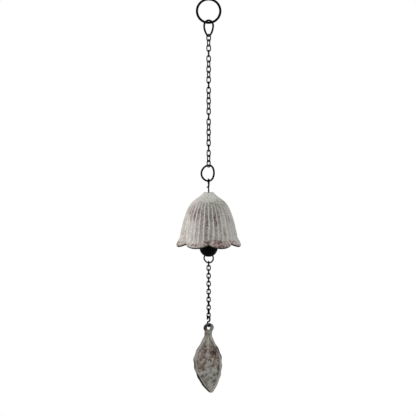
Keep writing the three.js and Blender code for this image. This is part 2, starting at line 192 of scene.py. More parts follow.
world = bpy.data.worlds.new("studio")
bpy.context.scene.world = world
world.use_nodes = True
world_tree = world.node_tree
world_tree.nodes.clear()
ray = add_node(world_tree, "ShaderNodeLightPath")
straight, mirrored, through = (
    Number(ray.outputs[f"Is {kind} Ray"]) for kind in ("Camera", "Glossy", "Transmission")
)
room_light, white_backdrop = (
    add_node(world_tree, "ShaderNodeBackground", {"Color": (1, 1, 1, 1), "Strength": strength})
    for strength in (room_strength, white_strength)
)
world_mix = add_node(
    world_tree,
    "ShaderNodeMixShader",
    {0: straight.most(mirrored).most(through), 1: room_light.outputs[0], 2: white_backdrop.outputs[0]},
)
add_node(world_tree, "ShaderNodeOutputWorld", {0: world_mix.outputs[0]})


def soft_lamp(name, place, size, share):
    """A square lamp aimed at the bell. share is how much of a white surface's light it gives."""
    to_bell = bell_middle - Vector(place)
    lamp_data = bpy.data.lights.new(name, "AREA")
    lamp_data.size = size
    lamp_data.energy = share * math.pi**2 * to_bell.length**2
    lamp = new_object(name, lamp_data)
    lamp.location = place
    lamp.rotation_euler = to_bell.to_track_quat("-Z", "Y").to_euler()
    print(name, "power in watts:", round(lamp_data.energy, 1))


soft_lamp("key_lamp", (-1.2, -0.75, 0.4), size=0.8, share=0.53)
soft_lamp("fill_lamp", (1.35, -0.25, 0.15), size=0.9, share=0.34)
bpy.context.scene.view_settings.view_transform = "Standard"

# %% [markdown]
# ## Sizes
# These are the solid model's own driving sizes, in millimetres, and its levels follow from
# them as they do there: each loop hangs in the one above with a running gap between them.

# %% Driving sizes
mm = 0.001
clearance = 0.3
top_ring_wire = 3.0
top_ring_radius = (32 - top_ring_wire) / 2
small_ring_wire = 2.4
small_ring_radius = (22 - small_ring_wire) / 2
small_ring = (small_ring_wire, small_ring_radius)
link_wire = 1.5
upper_link_inner_width = 3.2
lower_link_inner_width = 2.8
upper_link_count = 25
lower_link_count = 14
upper_chain_length = 166.8
lower_chain_length = 73.2
hanger_wire = 1.8
hanger_eye_radius = 3.0
eye_above_bell = 11.4
crown_thickness = 3
clapper_wire = 1.8
clapper_eye_radius = 2.9
loop_wire = 1.9
ball_radius = 11.6
ball_drop = 68.8
top_loop_radius = 3.4
top_loop_height = 4.6
bottom_loop_radius = 5.8
bottom_loop_height = 8.4
hook_wire = 2.1
hook_bend_radius = 3.2
hook_turn = -62
eye_hole_height = 5.8


# %% Levels, from the top down
def seat(carrier_wire, wire):
    """How far the hanging wire's middle lies above the carrying wire's middle."""
    return (carrier_wire + wire) / 2 + clearance


def hung(foot, carrier_wire, wire, radius):
    """The middle level of a loop that hangs on a wire whose lowest level is foot."""
    return foot + seat(carrier_wire, wire) - radius


def hung_chain(foot, carrier_wire, length, count):
    """A chain that hangs there: a link's length inside, pitch, first level and foot."""
    inner = (length - 2 * link_wire + (count - 1) * clearance) / count
    half = (inner + link_wire) / 2
    pitch = 2 * half - seat(link_wire, link_wire)
    top = hung(foot, carrier_wire, link_wire, half)
    return inner, pitch, top, top - (count - 1) * pitch - half


top_ring_level = top_ring_wire / 2 - top_ring_radius
upper_ring_level = hung(top_ring_level - top_ring_radius, top_ring_wire, *small_ring)
upper_inner, upper_pitch, upper_chain_top, upper_chain_foot = hung_chain(
    upper_ring_level - small_ring_radius, small_ring_wire, upper_chain_length, upper_link_count
)
bell_ring_level = hung(upper_chain_foot, link_wire, *small_ring)
hanger_eye_level = hung(
    bell_ring_level - small_ring_radius, small_ring_wire, hanger_wire, hanger_eye_radius
)
bell_top = hanger_eye_level - hanger_eye_radius - eye_above_bell
lower_eye_level = bell_top - crown_thickness - clearance - hanger_wire / 2 - hanger_eye_radius
clapper_head_level = hung(
    lower_eye_level - hanger_eye_radius, hanger_wire, clapper_wire, clapper_eye_radius
)
ball_level = bell_top - ball_drop
top_loop_level = ball_level + ball_radius + top_loop_height - top_loop_radius
clapper_foot_level = (
    top_loop_level + top_loop_radius - seat(clapper_wire, loop_wire) + clapper_eye_radius
)
bottom_loop_level = ball_level - ball_radius - bottom_loop_height + loop_wire / 2 + bottom_loop_radius
lower_inner, lower_pitch, lower_chain_top, lower_chain_foot = hung_chain(
    bottom_loop_level - bottom_loop_radius, loop_wire, lower_chain_length, lower_link_count
)
hook_level = hung(lower_chain_foot, link_wire, hook_wire, 2 * hook_bend_radius)
leaf_level = hook_level - 2 * hook_bend_radius + hook_wire / 2 + clearance - eye_hole_height / 2
solid_bell_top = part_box("bell")[1].z / mm
print("levels in mm: bell", round(bell_top, 2), "solid", round(solid_bell_top, 2))

# %% [markdown]
# ## Finishes
# The wires and the ball are blackened iron, nearly black with a dull sheen and a breath of
# brown where the coat is thin. Each finish is built from noise in Object coordinates, so
# it stays put on its piece. It is laid on in coats, as paint is: a coat is a share, which
# says where it lies and how thick, and a colour, written as a picture program gives it.


# %% Helper for finishes
def linear(colour):
    """A colour from 0 to 255 turned to the linear value that nodes use."""
    shares = [part / 255 for part in colour]
    return (*(s / 12.92 if s < 0.04045 else ((s + 0.055) / 1.055) ** 2.4 for s in shares), 1)


class Finish:
    """A material in the making, with the patterns and the coats that it is built from."""

    def __init__(self, name):
        self.material = bpy.data.materials.new(name)
        self.material.use_nodes = True
        self.tree = self.material.node_tree
        self.shader = self.tree.nodes["Principled BSDF"]
        self.place = add_node(self.tree, "ShaderNodeTexCoord").outputs["Object"]
        self.x, _, self.z = parts_of(self.tree, self.place)

    def mark(self, name):
        """A number that the shape's own tree wrote on its points."""
        return Number(add_node(self.tree, "ShaderNodeAttribute", attribute_name=name).outputs["Fac"])

    def cloud(self, scale, detail, stretch=None):
        return cloud(self.tree, self.place, scale, detail, stretch)

    def stain(self, middle, size, ragged=0.35):
        """1 at a place on the piece and 0 about size millimetres away, with a ragged edge."""
        shifted = vector_math(self.tree, "SUBTRACT", self.place, Vector(middle) * mm)
        scaled = vector_math(self.tree, "DIVIDE", shifted, Vector(size) * mm)
        edge = (self.cloud(400, 3) - 0.5) * (2 * ragged)
        return (vector_math(self.tree, "LENGTH", scaled) + edge).steps_up(1.1, 0.3)

    def blend(self, share, first, second):
        """first where share is 0, second where it is 1. Each is a colour or a socket."""
        made = add_node(self.tree, "ShaderNodeMix", {0: share}, data_type="RGBA")
        for slot, colour in ((6, first), (7, second)):
            plug(made.inputs[slot], linear(colour) if isinstance(colour, tuple) else colour)
        return made.outputs[2]

    def coated(self, colour, *coats):
        """The colour with each (share, colour) coat laid over those before it."""
        for share, coat in coats:
            colour = self.blend(share, colour, coat)
        return colour

    def done(self, colour, roughness, sheen, grain=None, grain_depth=0.0):
        """The material, with its colour, its sheen and a bump grain_depth millimetres high."""
        plug(self.shader.inputs["Base Color"], colour)
        plug(self.shader.inputs["Roughness"], roughness)
        plug(self.shader.inputs["Specular IOR Level"], sheen)
        if grain:
            inputs = {"Height": grain, "Distance": grain_depth * mm}
            bump = add_node(self.tree, "ShaderNodeBump", inputs)
            plug(self.shader.inputs["Normal"], bump.outputs[0])
        return self.material


def black_iron(name, coat, thin, roughness):
    look = Finish(name)
    patches = look.cloud(260, 4).steps_up(0.55, 0.75)
    grain = look.cloud(1500, 3)
    colour = look.blend(patches * 0.6, coat, thin)
    return look.done(colour, grain * 0.2 + roughness, 0.03, grain, 0.12)


black_wire_finish = black_iron("black_wire", (7, 7, 7), (22, 18, 15), 0.5)
chain_finish = black_iron("dark_chain", (12, 11, 10), (40, 35, 29), 0.5)
ball_finish = black_iron("black_iron", (10, 10, 9), (20, 17, 15), 0.55)
print("finishes:", [finish.name for finish in (black_wire_finish, chain_finish, ball_finish)])

# %% [markdown]
# ## Node trees that make shapes
# A Geometry Nodes tree can be used again and again with other sizes. Each tree here is
# built by the script with a named input for every size. The result is turned into a plain
# mesh and the tree is taken off again, so that a finished piece is only its own faces.


# %% Helper for shape trees
def geometry(tree, kind, inputs=None, **settings):
    """The first output of a new Geometry Nodes node."""
    return add_node(tree, "GeometryNode" + kind, inputs, **settings).outputs[0]


def circle(tree, corners, radius):
    return geometry(tree, "CurvePrimitiveCircle", {"Resolution": corners, "Radius": radius})


def new_shape_tree(name, sizes):
    """A tree with a geometry input, one number input for each size, and a material."""
    tree = bpy.data.node_groups.new(name, "GeometryNodeTree")
    kinds = {"Geometry": "Geometry", **dict.fromkeys(sizes, "Float"), "Finish": "Material"}
    for slot, kind in kinds.items():
        tree.interface.new_socket(slot, in_out="INPUT", socket_type="NodeSocket" + kind)
    tree.interface.new_socket("Geometry", in_out="OUTPUT", socket_type="NodeSocketGeometry")
    entry = tree.nodes.new("NodeGroupInput")
    numbers = {size: Number(entry.outputs[size]) for size in sizes}
    return tree, entry, numbers


def end_shape_tree(tree, entry, shape):
    """Smooth faces and the finish, then out."""
    smooth = geometry(tree, "SetShadeSmooth", {"Geometry": shape})
    inputs = {"Geometry": smooth, "Material": entry.outputs["Finish"]}
    add_node(tree, "NodeGroupOutput", {0: geometry(tree, "SetMaterial", inputs)})


def along_normal(tree, distance):
    """A push of this distance straight out of the surface."""
    inputs = {0: geometry(tree, "InputNormal"), "Scale": distance}
    return add_node(tree, "ShaderNodeVectorMath", inputs, operation="SCALE").outputs[0]


def with_marks(tree, shape, marks):
    """The shape with numbers written on its points, for its finish to read."""
    for name, number in marks.items():
        inputs = {"Geometry": shape, "Name": name, "Value": number}
        shape = geometry(tree, "StoreNamedAttribute", inputs)
    return shape


# %% Helper for plain meshes
def outward(mesh):
    """Turns a closed mesh right side out: its signed volume tells which side is which."""
    shape = bmesh.new()
    shape.from_mesh(mesh)
    if shape.calc_volume(signed=True) < 0:
        bmesh.ops.reverse_faces(shape, faces=shape.faces)
    shape.to_mesh(mesh)
    shape.free()


def worked_out(carrier):
    """An object's mesh with all its modifiers run."""
    bpy.context.view_layer.update()
    evaluated = carrier.evaluated_get(bpy.context.evaluated_depsgraph_get())
    return bpy.data.meshes.new_from_object(evaluated)


def grow(name, tree, finish, sizes, seed_mesh=None):
    """Runs a tree with these sizes and returns the result as an object with a plain mesh."""
    seed_mesh = seed_mesh or bpy.data.meshes.new(name + "_seed")
    carrier = new_object(name + "_carrier", seed_mesh)
    modifier = carrier.modifiers.new("shape", "NODES")
    modifier.node_group = tree
    sockets = tree.interface.items_tree
    for size, value in sizes.items():
        modifier[sockets[size].identifier] = float(value)
    modifier[sockets["Finish"].identifier] = finish
    mesh = worked_out(carrier)
    mesh.name = name
    bpy.data.objects.remove(carrier)
    bpy.data.meshes.remove(seed_mesh)
    outward(mesh)
    return new_object(name, mesh)


def finish_piece(piece, node, body):
    """Puts a finished piece in the place of its solid."""
    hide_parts(node)
    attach(piece, body)


print("shape helpers ready")

# %% [markdown]
# ## Rings and links
# A ring and a chain link are the same thing to make: round wire bent to a closed loop and
# welded. One tree serves all 42 of them. It starts from a circle and pulls its upper and
# lower halves apart by the length of the link's straight sides. An oval draws a link's
# two ends in a little. The small rings are not round any more: a taper makes the upper
# one an egg, and a bow moves the sides of the lower one to the left. Then the loop stands
# up at its turn and level as round wire.

# %% Tree for closed loops of wire
loop_sizes = ["Bend Radius", "Side", "Wire", "Oval", "Taper", "Bow", "Turn", "Level"]
loop_tree, loop_in, loop = new_shape_tree("closed_wire_loop", loop_sizes)
loop_circle = circle(loop_tree, corners=64, radius=loop["Bend Radius"])
loop_x, loop_y, _ = parts_of(loop_tree, geometry(loop_tree, "InputPosition"))
side_share = loop_x / loop["Bend Radius"]
head_share = loop_y / loop["Bend Radius"]
upright = loop_y + loop_y.math("SIGN") * loop["Side"] * 0.5
reach = upright / (loop["Bend Radius"] + loop["Side"] * 0.5)
narrower = head_share * loop["Taper"] + 1 - reach * reach * loop["Oval"]
across = loop_x * narrower - side_share * side_share * loop["Bow"]
loop_east, loop_north = (across * loop["Turn"].math(part) for part in ("COSINE", "SINE"))
loop_place = vector_of(loop_tree, loop_east, loop_north, upright + loop["Level"])
loop_path = geometry(loop_tree, "SetPosition", {"Geometry": loop_circle, "Position": loop_place})
loop_section = circle(loop_tree, corners=12, radius=loop["Wire"] * 0.5)
loop_mesh = geometry(loop_tree, "CurveToMesh", {"Curve": loop_path, "Profile Curve": loop_section})
end_shape_tree(loop_tree, loop_in, loop_mesh)


def closed_loop(
    node, wire, radius, level, turn=0, side=0, oval=0, taper=0, bow=0,
    slot="black_wire", finish=black_wire_finish,
):
    """Makes one ring or link. Lengths are in millimetres and angles in degrees."""
    sizes = {
        "Bend Radius": radius * mm,
        "Side": side * mm,
        "Wire": wire * mm,
        "Oval": oval,
        "Taper": taper,
        "Bow": bow * mm,
        "Turn": math.radians(turn),
        "Level": level * mm,
    }
    finish_piece(grow(node + "_wire", loop_tree, finish, sizes), node, node)


# %% Rings
closed_loop("top_ring", top_ring_wire, top_ring_radius, top_ring_level)
closed_loop("upper_ring", *small_ring, upper_ring_level, turn=57, taper=0.32)
closed_loop("bell_ring", *small_ring, bell_ring_level, turn=37, bow=1.5)
print("rings made")

# %% [markdown]
# ## Two chains
# The upper chain's odd links nearly face the front and turn slowly on the way down, and
# its even links stand across them. In the lower chain the links stand square to each
# other, and the chain twists near its foot, where the leaf hangs turned to one side. Both
# are read off the photo, and each link is a piece of its own that swings.

# %% Chains
link_oval = 0.15


def upper_link_turn(number):
    if number % 2:
        return -16 - 18 * (number - 1) / (upper_link_count - 1)
    return 62 + 20 * math.cos(2 * math.pi * (number - 4) / 6)


def lower_link_turn(number):
    twist = 6 + 16 * ((number - 1) / (lower_link_count - 1)) ** 3
    return twist + 90 if number % 2 else twist


def chain(prefix, count, inner_length, inner_width, top, pitch, turn_of):
    for number in range(1, count + 1):
        closed_loop(
            f"{prefix}_{number:02d}", link_wire, (inner_width + link_wire) / 2,
            top - (number - 1) * pitch, turn_of(number),
            side=inner_length - inner_width, oval=link_oval,
            slot="chain_wire", finish=chain_finish,
        )
    print(prefix, "links:", count)


chain(
    "upper_chain_link", upper_link_count, upper_inner, upper_link_inner_width,
    upper_chain_top, upper_pitch, upper_link_turn,
)
chain(
    "lower_chain_link", lower_link_count, lower_inner, lower_link_inner_width,
    lower_chain_top, lower_pitch, lower_link_turn,
)

# %% [markdown]
# ## Bent wires with two ends
# The hanger, the clapper's wire, the ball's loops and the S hook are cut lengths of wire.
# The script gives the middle line of each as points, and a tree runs a round section
# along it, closes its ends and draws them in a little, as a cutter leaves them.

# %% Tree for open wires
wire_tree, wire_in, wire_size = new_shape_tree("open_wire", ["Wire", "End"])
wire_curve = geometry(wire_tree, "MeshToCurve", {"Mesh": wire_in.outputs["Geometry"]})
along = add_node(wire_tree, "GeometryNodeSplineParameter")
from_start = Number(along.outputs["Length"])
whole_length = from_start / Number(along.outputs["Factor"]).most(0.0001)
from_end = from_start.least(whole_length - from_start)
drawn_in = from_end.steps_up(-0.4 * mm, wire_size["End"]) ** 0.5
wire_section = circle(wire_tree, corners=14, radius=wire_size["Wire"] * 0.5)
wire_run = {"Curve": wire_curve, "Profile Curve": wire_section, "Scale": drawn_in, "Fill Caps": True}
wire_mesh = geometry(wire_tree, "CurveToMesh", wire_run)
end_shape_tree(wire_tree, wire_in, wire_mesh)


def arc(level, radius, from_angle, to_angle):
    """Points on an upright arc, about every 6 degrees, in millimetres."""
    steps = max(2, round(abs(to_angle - from_angle) / 6))
    turns = [math.radians(from_angle + (to_angle - from_angle) * i / steps) for i in range(steps + 1)]
    return [Vector((radius * math.cos(t), 0, level + radius * math.sin(t))) for t in turns]


def smooth_path(corners, passes, spacing=0.35):
    """Fills a path with even points and rounds its corners by averaging neighbours."""
    points = [corners[0]]
    for start, end in zip(corners, corners[1:]):
        steps = max(1, round((end - start).length / spacing))
        points += [start.lerp(end, i / steps) for i in range(1, steps + 1)]
    for _ in range(passes):
        inner = [(a + 2 * b + c) / 4 for a, b, c in zip(points, points[1:], points[2:])]
        points = [points[0], *inner, points[-1]]
    return points


def bent_wire(name, node, points, wire, turn=0, level=0, body=None):
    """A wire along points in millimetres, turned about the plumb line."""
    cosine = math.cos(math.radians(turn))
    sine = math.sin(math.radians(turn))
    placed = [
        Vector((p.x * cosine - p.y * sine, p.x * sine + p.y * cosine, p.z + level)) * mm
        for p in points
    ]
    path = bpy.data.meshes.new(name + "_path")
    path.from_pydata(placed, [(i, i + 1) for i in range(len(placed) - 1)], [])
    sizes = {"Wire": wire * mm, "End": 0.35 * wire * mm}
    piece = grow(name, wire_tree, black_wire_finish, sizes, path)
    finish_piece(piece, node, body or node)


# %% Hanger wire
beside = hanger_wire + clearance
tail_length = 4.5
eye_foot = hanger_eye_level - hanger_eye_radius
lower_eye_head = lower_eye_level + hanger_eye_radius
hanger_corners = [
    Vector((-beside * 0.4, beside * 1.1, eye_foot - tail_length)),
    Vector((-beside, beside * 0.35, eye_foot - tail_length * 0.75)),
    Vector((-beside * 1.05, 0, eye_foot - tail_length * 0.4)),
    *arc(hanger_eye_level, hanger_eye_radius, 228, -50),
    Vector((0, 0, eye_foot - hanger_wire)),
    Vector((0, 0, lower_eye_head + hanger_wire)),
    *arc(lower_eye_level, hanger_eye_radius, 50, -230),
]
hanger_path = smooth_path(hanger_corners, passes=8)
bent_wire("hanger", "hanger_wire", hanger_path, hanger_wire, turn=100)

# %% Clapper wire
clapper_corners = [
    *arc(clapper_head_level, clapper_eye_radius, 232, -50),
    Vector((0, 0, clapper_head_level - clapper_eye_radius - clapper_wire)),
    Vector((0, 0, clapper_foot_level + clapper_eye_radius + clapper_wire)),
    *arc(clapper_foot_level, clapper_eye_radius, 50, -232),
]
clapper_path = smooth_path(clapper_corners, passes=8)
bent_wire("clapper_rod", "clapper_wire", clapper_path, clapper_wire, turn=10)

# %% S hook
hook_corners = arc(hook_level + hook_bend_radius, hook_bend_radius, 205, -70)
hook_corners += arc(hook_level - hook_bend_radius, hook_bend_radius, 110, 385)
hook_path = smooth_path(hook_corners, passes=5)
bent_wire("hook", "s_hook", hook_path, hook_wire, turn=hook_turn)
print("wires made")

# %% [markdown]
# ## Clapper ball
# The ball is an iron casting with a slightly uneven skin and a wire loop cast in at its
# top and bottom. A subdivided icosahedron has no poles to pinch, and noise pushed along
# the normals gives the skin. The loops are circles that end inside the ball.

# %% Ball
ball_tree, ball_in, ball_size = new_shape_tree("cast_ball", ["Radius", "Unevenness", "Level"])
ball_blank = geometry(ball_tree, "MeshIcoSphere", {"Radius": ball_size["Radius"], "Subdivisions": 6})
ball_place = geometry(ball_tree, "InputPosition")
ball_bumps = (cloud(ball_tree, ball_place, 220, 3) - 1) * ball_size["Unevenness"]
ball_push = along_normal(ball_tree, ball_bumps)
ball_skin = geometry(ball_tree, "SetPosition", {"Geometry": ball_blank, "Offset": ball_push})
ball_lift = vector_of(ball_tree, 0, 0, ball_size["Level"])
ball_put = geometry(ball_tree, "Transform", {"Geometry": ball_skin, "Translation": ball_lift})
end_shape_tree(ball_tree, ball_in, ball_put)
ball = grow(
    "ball", ball_tree, ball_finish,
    {"Radius": ball_radius * mm, "Unevenness": 0.35 * mm, "Level": ball_level * mm},
)
finish_piece(ball, "clapper_ball", "clapper")


# %% Ball loops
def ball_loop(radius, from_ball, middle, dent=0, dent_angle=0):
    """Part of a circle round the direction middle, open where it is buried in the ball."""
    buried = ball_radius - loop_wire - 1.6
    cosine = (radius**2 + from_ball**2 - buried**2) / (2 * radius * from_ball)
    reach = 180 - math.degrees(math.acos(max(-1, min(1, cosine))))
    points = []
    for point in arc(0, radius, middle - reach, middle + reach):
        away = math.atan2(point.z, point.x) - math.radians(dent_angle)
        points.append(point * (1 - dent * max(0, math.cos(away)) ** 6 / radius))
    return points


top_loop = ball_loop(top_loop_radius, top_loop_level - ball_level, middle=90)
bottom_loop = ball_loop(
    bottom_loop_radius, ball_level - bottom_loop_level, middle=270, dent=0.5, dent_angle=222
)
for end, points, turn, level in (
    ("top", top_loop, 100, top_loop_level),
    ("bottom", bottom_loop, 0, bottom_loop_level),
):
    bent_wire(
        f"ball_{end}_loop", f"clapper_{end}_loop", points, loop_wire, turn, level, body="clapper"
    )
print("clapper made")

# %% [markdown]
# ## Bell
# The bell is one rule all the way round, so Geometry Nodes make the whole of it. The
# script writes only the profile: rows of points from the crown's hole, over the collar
# round it, down the outside, round the lip and up the inside. Each row says how far out
# and down it lies, and how much it takes part in the petals and in the ribs. The tree
# lays out a flat grid, one line of it to a row, wraps it round the axis, opens the mouth
# to seven petals, and presses the grooves in between 35 ribs. As if fingers drew them in
# clay, the ribs waver and differ in height, which a little noise does.

# %% Profile of the bell's wall
bell_wall = 3.0
crown_radius = 7.0
crown_hole_radius = 2.3
waist_radius = 36.0
waist_depth = 53.8
notch_radius = 35.0
notch_depth = 62.9
petal_radius = 40.8
petal_depth = 67.0
lip = 1.2
rib_start_depth = 8.0


def outline(t):
    """The outside from the crown's edge to the waist: radius and depth on a Bezier curve."""
    corners = [
        (crown_radius, 0),
        (0.445 * waist_radius, 0.22 * waist_depth),
        (0.733 * waist_radius, 0.046 * waist_depth),
        (waist_radius, waist_depth),
    ]
    weights = [(1 - t) ** 3, 3 * t * (1 - t) ** 2, 3 * t**2 * (1 - t), t**3]
    return [sum(w * part for w, part in zip(weights, parts)) for parts in zip(*corners)]


def outline_inside(t):
    """The same curve moved in by the wall's thickness, square to the wall."""
    small = 0.001
    before = outline(max(0, t - small))
    after = outline(min(1, t + small))
    length = math.dist(before, after)
    outwards, downwards = ((b - a) / length for a, b in zip(before, after))
    radius, depth = outline(t)
    return radius - bell_wall * downwards, depth + bell_wall * outwards


def flare(s):
    """How far the wall has opened from the waist, 0, to the lip, 1."""
    return 0.01 * s + 2.16 * s**2 - 1.17 * s**3


def smooth_step(value, low, high):
    t = max(0.0, min(1.0, (value - low) / (high - low)))
    return t * t * (3 - 2 * t)


# %% Rows of the profile
bell_rows = []


def bell_row(radius, depth, out=0.0, down=0.0, rib=0.0, inside=0.0):
    bell_rows.append((radius * mm, depth * mm, out, down, rib, inside))


crown_rows = [
    (crown_hole_radius, 1.6), (2.32, 0.6), (2.45, -0.3), (2.9, -0.75), (3.7, -1.0),
    (4.7, -1.1), (5.7, -0.95), (6.5, -0.45), (7.1, 0.35), (7.7, 1.1),
]
for row in crown_rows:
    bell_row(*row)
outside_rows = 84
collar_share = 0.06
for i in range(outside_rows):
    radius, depth = outline(collar_share + (1 - collar_share) * (i / (outside_rows - 1)) ** 1.15)
    bell_row(radius, depth, rib=smooth_step(depth, 0.75 * rib_start_depth, 1.8 * rib_start_depth))
flare_rows = 22
for i in range(1, flare_rows + 1):
    s = i / flare_rows
    bell_row(waist_radius, waist_depth - 3 * lip * s, flare(s), s, 1 - 0.55 * flare(s))
lip_rows = 9
# The inside mark begins low on the lip, so the lip's underside takes the inside's dark: bare iron and
# painted shade.
for i in range(lip_rows + 1):
    angle = math.pi * i / lip_rows
    radius = waist_radius - bell_wall / 2 + bell_wall / 2 * math.cos(angle)
    depth = waist_depth - 1.5 * lip + 1.5 * lip * math.sin(angle)
    bell_row(radius, depth, 1, 1, 0.4 * (1 - i / lip_rows), smooth_step(i, -0.6, 0.8))
for s in (0.75, 0.5, 0.25, 0.1):
    bell_row(waist_radius - bell_wall, waist_depth, s, s, 0, 1)
inside_rows = 20
for i in range(inside_rows + 1):
    bell_row(*outline_inside(1 - 0.9 * i / inside_rows), inside=1)
ceiling_rows = [(crown_radius - clearance, 3), (4, 3), (2.5, 2.95), (crown_hole_radius, 2.6)]
for row in ceiling_rows:
    bell_row(*row, inside=1)
bell_rows.append(bell_rows[0])
print("rows in the profile:", len(bell_rows))

# %% Profile as a mesh that carries its numbers
row_columns = ["radius", "depth", "out", "down", "rib", "inside"]
profile = bpy.data.meshes.new("bell_profile")
profile.from_pydata([(0, 0, 0)] * len(bell_rows), [], [])
for name, values in zip(row_columns, zip(*bell_rows)):
    profile.attributes.new(name, "FLOAT", "POINT").data.foreach_set("value", values)

# %% Tree for the bell
bell_sizes = ["Rows", "Columns", "Petals", "Ribs", "Rib Height", "Level", "Waver", "Pitting"]
bell_tree, bell_in, bell_size = new_shape_tree("petal_bell", bell_sizes)
bell_grid = geometry(
    bell_tree,
    "MeshGrid",
    {"Size X": 1, "Size Y": 1, "Vertices X": bell_size["Columns"] + 1, "Vertices Y": bell_size["Rows"]},
)
grid_x, grid_y, _ = parts_of(bell_tree, geometry(bell_tree, "InputPosition"))
around = grid_x + 0.5
row_number = ((grid_y + 0.5) * (bell_size["Rows"] - 1)).math("ROUND")


def from_profile(name):
    """A number of the profile at this point's row."""
    named = geometry(bell_tree, "InputNamedAttribute", {"Name": name})
    inputs = {"Geometry": bell_in.outputs["Geometry"], "Value": named, "Index": row_number}
    return Number(geometry(bell_tree, "SampleIndex", inputs))


row_radius, row_depth, row_out, row_down, row_rib, row_inside = map(from_profile, row_columns)

petal_share = (around * bell_size["Petals"]).math("FRACT")
from_middle = petal_share * 2 - 1
lobe = (1 - from_middle * from_middle).most(0)
rim_radius = lobe.math("SQRT") * ((petal_radius - notch_radius) * mm) + notch_radius * mm
rim_depth = lobe * ((petal_depth - notch_depth) * mm) + notch_depth * mm
smooth_radius = row_radius + row_out * (rim_radius - waist_radius * mm)
smooth_depth = row_depth + row_down * (rim_depth - waist_depth * mm)
bell_angle = (around + 0.25) * (-2 * math.pi)
east = bell_angle.math("COSINE")
north = bell_angle.math("SINE")
smooth_place = vector_of(bell_tree, smooth_radius * east, smooth_radius * north, 0 - smooth_depth)

# %% Ribs and skin of the bell
waver = (cloud(bell_tree, smooth_place, 70, 2, (1, 1, 0.6)) - 0.5) * bell_size["Waver"]
waver = waver + (cloud(bell_tree, smooth_place, 260, 1) - 0.5) * (bell_size["Waver"] * 0.5)
rib_phase = (around + waver) * bell_size["Ribs"]
crest = (rib_phase * (2 * math.pi)).math("COSINE") * 0.5 + 0.5
unequal = cloud(bell_tree, smooth_place, 130, 2, (1, 1, 0.25)).steps_up(0.3, 0.65) * 0.7 + 0.5
groove_depth = (1 - crest**2.6) * unequal * row_rib
outside = 1 - row_inside
petal_band = row_down.steps_up(0.25, 0.9) * outside
pebbles = cloud(bell_tree, smooth_place, 620, 2) - 0.62
lumps = cloud(bell_tree, smooth_place, 150, 2) - 0.6
crown_share = smooth_depth.steps_up(9 * mm, 2 * mm) * outside
crown_bumps = (bell_angle * 2).math("COSINE") * smooth_radius.steps_up(1.5 * mm, 4.5 * mm)
bell_radius = (
    smooth_radius
    - groove_depth * bell_size["Rib Height"]
    + (pebbles * (petal_band * 1.3 + 0.5) + lumps * 0.8) * bell_size["Pitting"] * outside
)
bell_depth = smooth_depth - crown_bumps * crown_share * (0.3 * mm) + crown_share * (0.25 * mm)
bell_place = vector_of(
    bell_tree, bell_radius * east, bell_radius * north, bell_size["Level"] - bell_depth
)
bell_marks = {"groove": groove_depth, "petal_band": petal_band, "inside": row_inside, "ribbed": row_rib}
bell_marked = with_marks(bell_tree, bell_grid, bell_marks)
bell_shape = geometry(bell_tree, "SetPosition", {"Geometry": bell_marked, "Position": bell_place})
bell_closed = geometry(bell_tree, "MergeByDistance", {"Geometry": bell_shape, "Distance": 0.004 * mm})
end_shape_tree(bell_tree, bell_in, bell_closed)

# %% [markdown]
# ## Bell finish
# Chalky white paint on rusty iron. It was wiped while wet, so it is thick and creamy on
# the ribs and thin in the grooves, where brown and plum iron shows; the crests also carry a
# painted highlight. It is greyer in the middle, from grime and painted shade, cooler at the
# right and lighter on the crown. The petals were dabbed with a sponge and are speckled
# pinkish brown, and the inside is bare and black; that black also runs under the lip as
# painted shade.

# %% Chalky paint
look = Finish("chalky_paint")
tints = look.cloud(90, 3).steps_up(0.35, 0.65)
pink = look.cloud(60, 2).steps_up(0.55, 0.75)
# Greyer across the middle, fading at the right: grime, and painted shade beside the lit left side.
middle_grime_and_shade = look.x.steps_up(-24 * mm, 0) * (1 - look.x.steps_up(12 * mm, 34 * mm) * 0.9)
cool_side = look.x.steps_up(14 * mm, 32 * mm)
hues = look.cloud(240, 3)
green = look.stain((6, -20, -256), (13, 30, 13))
# Lighter paint on the crown.
lighter_crown = look.z.steps_up(-0.252, -0.243)
paint = look.coated(
    look.blend(tints, (210, 208, 201), (230, 225, 218)),
    (pink * 0.5, (220, 204, 199)),
    (middle_grime_and_shade * 0.92, (175, 174, 168)),
    (cool_side * 0.55, (178, 181, 178)),
    (hues.steps_up(0.53, 0.68) * 0.3, (206, 184, 180)),
    (hues.steps_up(0.45, 0.32) * 0.35, (182, 192, 176)),
    (green * 0.55, (160, 164, 148)),
    (lighter_crown * 0.7, (214, 215, 207)),
)

# %% Thin paint in the grooves, bare stains and specks
groove_mark = look.mark("groove")
grooves = groove_mark.steps_up(0.1, 0.8)
# Thick paint on the rib crests, laid lighter still as a painted highlight.
crest_paint_and_highlight = groove_mark.steps_up(0.3, 0.03) * look.mark("ribbed")
softer = 1 - look.x.steps_up(2 * mm, 14 * mm) * 0.45 - look.z.steps_up(-0.262, -0.252) * 0.3
thin = look.blend(middle_grime_and_shade, (182, 175, 169), (118, 112, 108))
mottled = look.cloud(330, 3, (1, 1, 0.5)).steps_up(0.35, 0.6)
upper_left_stain = look.stain((-17, -22, -263), (11, 30, 13))
middle_stain = look.stain((5, -33, -272), (13, 22, 15))
scattered = look.cloud(75, 3).steps_up(0.5, 0.7) * 0.6
bare = upper_left_stain.most(middle_stain).most(scattered)
plum = look.blend(look.cloud(180, 2), (108, 76, 76), (80, 64, 60))
streaks = look.cloud(300, 3, (1, 1, 0.3)).steps_up(0.35, 0.55)
grit = look.cloud(560, 2)
speck_zone = look.cloud(100, 2).steps_up(0.35, 0.6) * middle_grime_and_shade.most(0.5)
flecks = look.cloud(420, 4).steps_up(0.5, 0.64) * (1 - middle_grime_and_shade)
